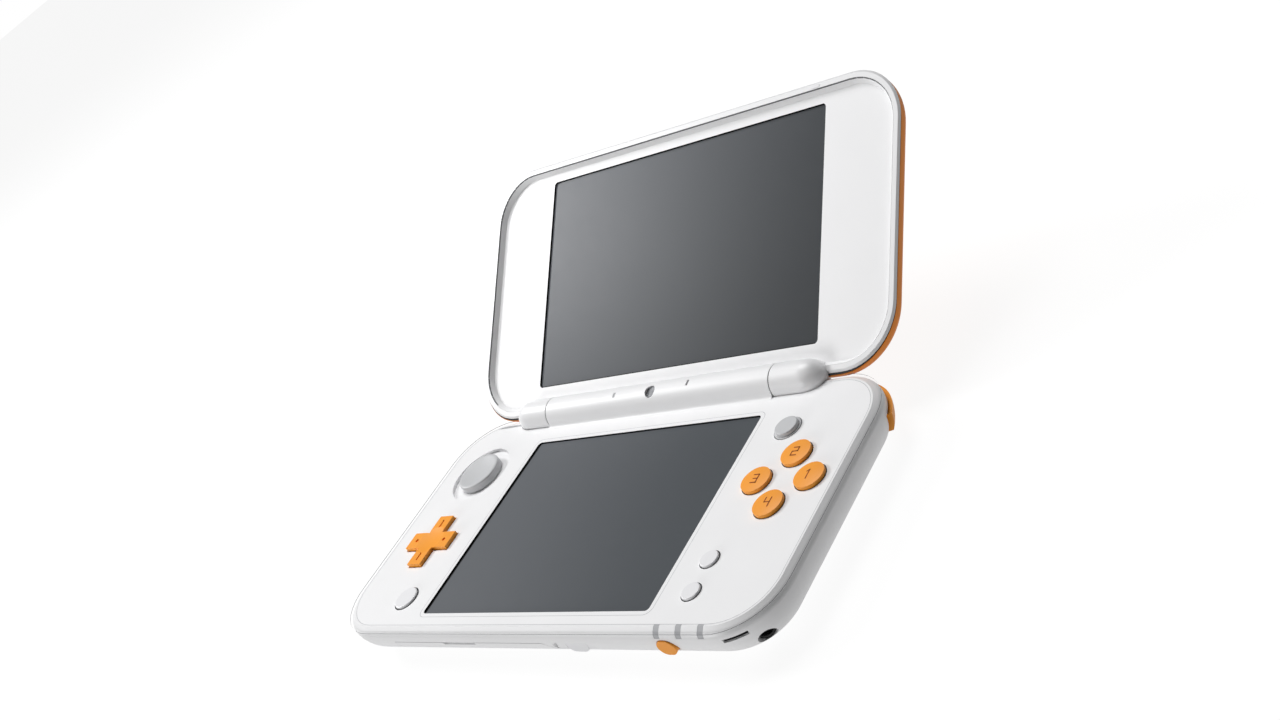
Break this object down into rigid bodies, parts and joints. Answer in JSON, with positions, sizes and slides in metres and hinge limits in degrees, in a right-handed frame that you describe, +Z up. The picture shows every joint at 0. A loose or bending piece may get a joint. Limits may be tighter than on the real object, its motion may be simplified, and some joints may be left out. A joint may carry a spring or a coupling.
{
  "type": "clamshell handheld game console",
  "caption": "Clamshell handheld game console with two screens, sliding pad, direction pad, buttons, card slot, stylus and a domed friction hinge; shown open.",
  "frame": {"origin": "middle of the flat underside of the base", "axes": "+X to the right, along the hinge; +Y to the back, where the hinge is; +Z up, out of the button face"},
  "size_m": [0.1607, 0.1489, 0.059],
  "materials": {
    "white_shell": "satin moulded plastic",
    "orange_plastic": "satin moulded plastic",
    "grey_plastic": "fine matte plastic",
    "dark_plastic": "matte plastic",
    "screen": "glossy clear panel over a dark display",
    "display_glass": "dark display glass in a thin frame",
    "cell_case": "sheathed flat cell",
    "metal": "plain sheet metal",
    "board": "coated circuit board",
    "silicone": "moulded silicone"
  },
  "bodies": {
    "base": {"base_shell": "white_shell", "back_cover": "white_shell", "back_cover_screws": "metal", "foot_pads": "silicone", "base_top_plate": "white_shell", "base_screws": "metal", "touch_panel": "display_glass", "lower_lcd": "display_glass", "main_board": "board", "battery": "cell_case", "speaker_left": "dark_plastic", "speaker_right": "dark_plastic", "card_slot": "metal", "memory_card_slot": "metal", "stylus_holder": "dark_plastic", "headphone_jack": "dark_plastic", "dc_jack": "dark_plastic", "ir_window": "screen", "light_pipes": "grey_plastic", "slide_pad_base": "dark_plastic", "direction_pad_membrane": "silicone", "face_button_membrane": "silicone", "pointing_nub": "grey_plastic", "nub_sensor": "metal", "small_button_membranes": "silicone", "shoulder_switches": "metal", "inner_camera": "dark_plastic", "camera_window": "screen", "microphone": "metal", "indicator_lens": "grey_plastic", "outer_cameras": "dark_plastic", "hinge_shaft": "metal", "hinge_bush": "metal", "hinge_flex": "orange_plastic"},
    "card_cover_body": {"card_cover": "white_shell"},
    "stylus_body": {"stylus": "white_shell"},
    "power_button_body": {"power_button": "orange_plastic"},
    "volume_slider_body": {"volume_slider": "grey_plastic"},
    "slide_pad_carriage_body": {"slide_pad_carriage": "grey_plastic"},
    "slide_pad_body": {"slide_pad_cap": "grey_plastic"},
    "direction_pad_pivot_body": {"direction_pad_pivot": "grey_plastic"},
    "direction_pad_body": {"direction_pad": "orange_plastic"},
    "face_button_right_body": {"face_button_right": "orange_plastic"},
    "face_button_top_body": {"face_button_top": "orange_plastic"},
    "face_button_left_body": {"face_button_left": "orange_plastic"},
    "face_button_bottom_body": {"face_button_bottom": "orange_plastic"},
    "home_button_body": {"home_button": "white_shell"},
    "start_button_body": {"start_button": "white_shell"},
    "select_button_body": {"select_button": "white_shell"},
    "shoulder_left_body": {"shoulder_left": "orange_plastic"},
    "shoulder_right_body": {"shoulder_right": "orange_plastic"},
    "trigger_left_body": {"trigger_left": "orange_plastic"},
    "trigger_right_body": {"trigger_right": "orange_plastic"},
    "lid": {"hinge_cartridge": "metal", "lid_frame": "white_shell", "lid_bezel": "white_shell", "upper_window": "screen", "upper_lcd": "display_glass", "lid_outer_cover": "orange_plastic", "lid_trim": "grey_plastic"}
  },
  "joints": [
    {"name": "lid_hinge", "type": "hinge", "parent": "base", "child": "lid", "pos_m": [0, 0.0406, 0.0133], "axis": [-1, 0, 0], "range_deg": [-145.1, 7]},
    {"name": "card_cover_hinge", "type": "hinge", "parent": "base", "child": "card_cover_body", "pos_m": [-0.022, -0.03533, 0.00214], "axis": [1, 0, 0], "range_deg": [0, 50]},
    {"name": "stylus_slide", "type": "slide", "parent": "base", "child": "stylus_body", "axis": [0, -1, 0], "range_m": [0, 0.072]},
    {"name": "power_press", "type": "slide", "parent": "base", "child": "power_button_body", "axis": [0, 1, 0], "range_m": [0, 0.0003], "stiffness_N_per_m": 150},
    {"name": "volume_slide", "type": "slide", "parent": "base", "child": "volume_slider_body", "axis": [0, 1, 0], "range_m": [-0.003, 0.003]},
    {"name": "slide_pad_x", "type": "slide", "parent": "base", "child": "slide_pad_carriage_body", "axis": [1, 0, 0], "range_m": [-0.0021, 0.0021], "stiffness_N_per_m": 150},
    {"name": "slide_pad_y", "type": "slide", "parent": "slide_pad_carriage_body", "child": "slide_pad_body", "axis": [0, 1, 0], "range_m": [-0.0021, 0.0021], "stiffness_N_per_m": 150},
    {"name": "direction_pad_tilt_x", "type": "hinge", "parent": "base", "child": "direction_pad_pivot_body", "pos_m": [-0.061, -0.00835, 0.0094], "axis": [1, 0, 0], "range_deg": [-3, 3], "stiffness_Nm_per_rad": 0.05},
    {"name": "direction_pad_tilt_y", "type": "hinge", "parent": "direction_pad_pivot_body", "child": "direction_pad_body", "pos_m": [-0.061, -0.00835, 0.0094], "axis": [0, 1, 0], "range_deg": [-3, 3], "stiffness_Nm_per_rad": 0.05},
    {"name": "face_right_press", "type": "slide", "parent": "base", "child": "face_button_right_body", "axis": [0, 0, -1], "range_m": [0, 0.0007], "stiffness_N_per_m": 150},
    {"name": "face_top_press", "type": "slide", "parent": "base", "child": "face_button_top_body", "axis": [0, 0, -1], "range_m": [0, 0.0007], "stiffness_N_per_m": 150},
    {"name": "face_left_press", "type": "slide", "parent": "base", "child": "face_button_left_body", "axis": [0, 0, -1], "range_m": [0, 0.0007], "stiffness_N_per_m": 150},
    {"name": "face_bottom_press", "type": "slide", "parent": "base", "child": "face_button_bottom_body", "axis": [0, 0, -1], "range_m": [0, 0.0007], "stiffness_N_per_m": 150},
    {"name": "home_press", "type": "slide", "parent": "base", "child": "home_button_body", "axis": [0, 0, -1], "range_m": [0, 0.0003], "stiffness_N_per_m": 150},
    {"name": "start_press", "type": "slide", "parent": "base", "child": "start_button_body", "axis": [0, 0, -1], "range_m": [0, 0.0003], "stiffness_N_per_m": 150},
    {"name": "select_press", "type": "slide", "parent": "base", "child": "select_button_body", "axis": [0, 0, -1], "range_m": [0, 0.0003], "stiffness_N_per_m": 150},
    {"name": "shoulder_right_press", "type": "hinge", "parent": "base", "child": "shoulder_right_body", "pos_m": [0.0515, 0.0342, 0.005], "axis": [0, 0, -1], "range_deg": [0, 1.4], "stiffness_Nm_per_rad": 1},
    {"name": "shoulder_left_press", "type": "hinge", "parent": "base", "child": "shoulder_left_body", "pos_m": [-0.0515, 0.0342, 0.005], "axis": [0, 0, 1], "range_deg": [0, 1.4], "stiffness_Nm_per_rad": 1},
    {"name": "trigger_right_press", "type": "slide", "parent": "base", "child": "trigger_right_body", "axis": [0, -1, 0], "range_m": [0, 0.0006], "stiffness_N_per_m": 150},
    {"name": "trigger_left_press", "type": "slide", "parent": "base", "child": "trigger_left_body", "axis": [0, -1, 0], "range_m": [0, 0.0006], "stiffness_N_per_m": 150}
  ]
}
